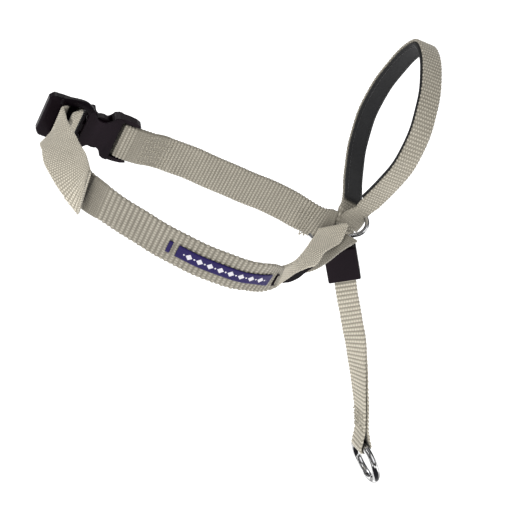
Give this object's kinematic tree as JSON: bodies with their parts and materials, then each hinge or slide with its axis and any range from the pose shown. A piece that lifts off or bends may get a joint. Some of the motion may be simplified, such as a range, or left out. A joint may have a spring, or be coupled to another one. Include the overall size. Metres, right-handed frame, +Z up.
{
  "type": "dog head halter",
  "caption": "Dog head halter: beige webbing neck strap with a side-release buckle, a padded nose loop through a steel ring, a sliding clamp and a leash ring on a short tail.",
  "frame": {"origin": "middle of the inner face of the neck strap's flat rear run, where it bears on the neck", "axes": "+Z up; +X towards the dog's nose, along the strap from the buckle end to the ring end; +Y from the throat side to the neck side"},
  "size_m": [0.1885, 0.1333, 0.2337],
  "materials": {
    "webbing": "woven nylon with cross ribs",
    "thread": "sewing thread",
    "plastic": "semi-gloss moulded",
    "rubber": "matte",
    "pad": "soft neoprene",
    "pad_thread": "sewing thread",
    "steel": "polished",
    "label": "woven satin ribbon"
  },
  "bodies": {
    "neck_strap": {"front_neck_webbing": "webbing", "rear_neck_webbing": "webbing", "label_ribbon": "label", "label_tack_left": "label", "label_tack_right": "label", "throat_pad": "rubber", "socket_box_stitch": "thread", "ring_stitch": "thread", "buckle_socket": "plastic"},
    "buckle_plug": {"buckle_plug": "plastic", "neck_webbing_free_end": "webbing", "hem_stitch": "thread"},
    "arm_upper": {"buckle_arm_upper": "plastic"},
    "arm_lower": {"buckle_arm_lower": "plastic"},
    "ring": {"center_ring": "steel"},
    "nose_loop": {"nose_webbing": "webbing", "nose_pad": "pad", "pad_stitch_left": "pad_thread", "pad_stitch_right": "pad_thread"},
    "tail": {"tail_webbing_upper": "webbing"},
    "clamp": {"clamp_body": "plastic", "clamp_pin": "steel"},
    "lever": {"clamp_lever": "plastic"},
    "tail_end": {"tail_webbing_lower": "webbing", "tail_bartack": "thread"},
    "leash": {"leash_ring": "steel"}
  },
  "joints": [
    {"name": "buckle_release", "type": "slide", "parent": "neck_strap", "child": "buckle_plug", "axis": [-0.8915, -0.1564, 0.4252], "range_m": [0, 0.024]},
    {"name": "arm_upper_press", "type": "hinge", "parent": "buckle_plug", "child": "arm_upper", "pos_m": [-0.06344, -0.00652, 0.03624], "axis": [-0.1412, 0.9877, 0.0673], "range_deg": [0, 6]},
    {"name": "arm_lower_press", "type": "hinge", "parent": "buckle_plug", "child": "arm_lower", "pos_m": [-0.06809, -0.00652, 0.0265], "axis": [-0.1412, 0.9877, 0.0673], "range_deg": [-6, 0]},
    {"name": "ring_rock", "type": "hinge", "parent": "neck_strap", "child": "ring", "pos_m": [0.05423, -0.01063, -0.0257], "axis": [0.9803, 0, 0.1977], "range_deg": [-8, 8]},
    {"name": "nose_swing", "type": "hinge", "parent": "neck_strap", "child": "nose_loop", "pos_m": [0.05948, -0.0053, -0.02141], "axis": [0.8664, 0.208, -0.454], "range_deg": [-20, 25]},
    {"name": "tail_swing", "type": "hinge", "parent": "neck_strap", "child": "tail", "pos_m": [0.05752, -0.0053, -0.02181], "axis": [0.9848, 0, 0.1736], "range_deg": [-3, 40]},
    {"name": "clamp_slide", "type": "slide", "parent": "tail", "child": "clamp", "axis": [0.1736, 0, -0.9848], "range_m": [0, 0.022]},
    {"name": "lever_open", "type": "hinge", "parent": "clamp", "child": "lever", "pos_m": [0.055, -0.0017, -0.03718], "axis": [0.9848, 0, 0.1736], "range_deg": [0, 90]},
    {"name": "tail_bend", "type": "hinge", "parent": "tail", "child": "tail_end", "pos_m": [0.06215, -0.0053, -0.07775], "axis": [0.9848, 0, 0.1736], "range_deg": [-40, 40]},
    {"name": "leash_ring_swing", "type": "hinge", "parent": "tail_end", "child": "leash", "pos_m": [0.06926, -0.0053, -0.15205], "axis": [0.4006, -0.9135, 0.0706], "range_deg": [-75, 75]}
  ],
  "couplings": [
    {"joint": "arm_lower_press", "follows": "arm_upper_press", "ratio": -1}
  ]
}
